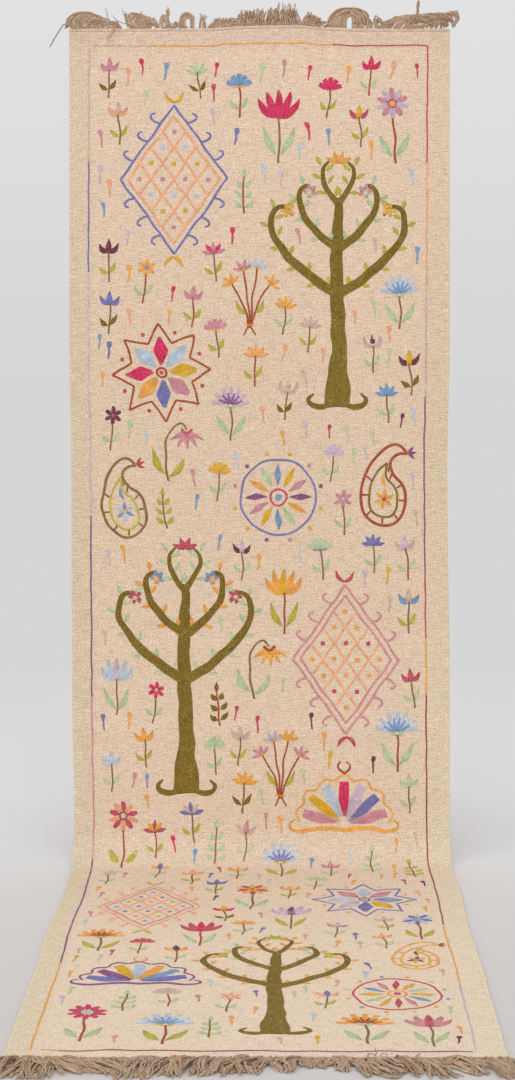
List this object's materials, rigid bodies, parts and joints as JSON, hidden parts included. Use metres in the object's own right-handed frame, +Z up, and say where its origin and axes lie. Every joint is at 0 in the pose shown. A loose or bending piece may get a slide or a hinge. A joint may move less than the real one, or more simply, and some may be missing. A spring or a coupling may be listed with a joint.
{
  "type": "embroidered kilim runner",
  "caption": "Flat-woven wool runner with chain-stitched motifs and fringed ends, hung by its top edge, bending at the floor and running out over it.",
  "frame": {"origin": "middle of the cloth's top edge, where it is held", "axes": "+Z up along the hanging part, +X to the right of someone facing the cloth, -Y towards them along the part that lies on the floor"},
  "size_m": [0.8575, 1.1928, 1.8333],
  "materials": {
    "undyed_wool": "matte",
    "brown_warp_yarn": "matte"
  },
  "bodies": {
    "root": {"kilim_body": "undyed_wool", "fringe_top": "brown_warp_yarn", "fringe_front": "brown_warp_yarn"}
  },
  "joints": []
}
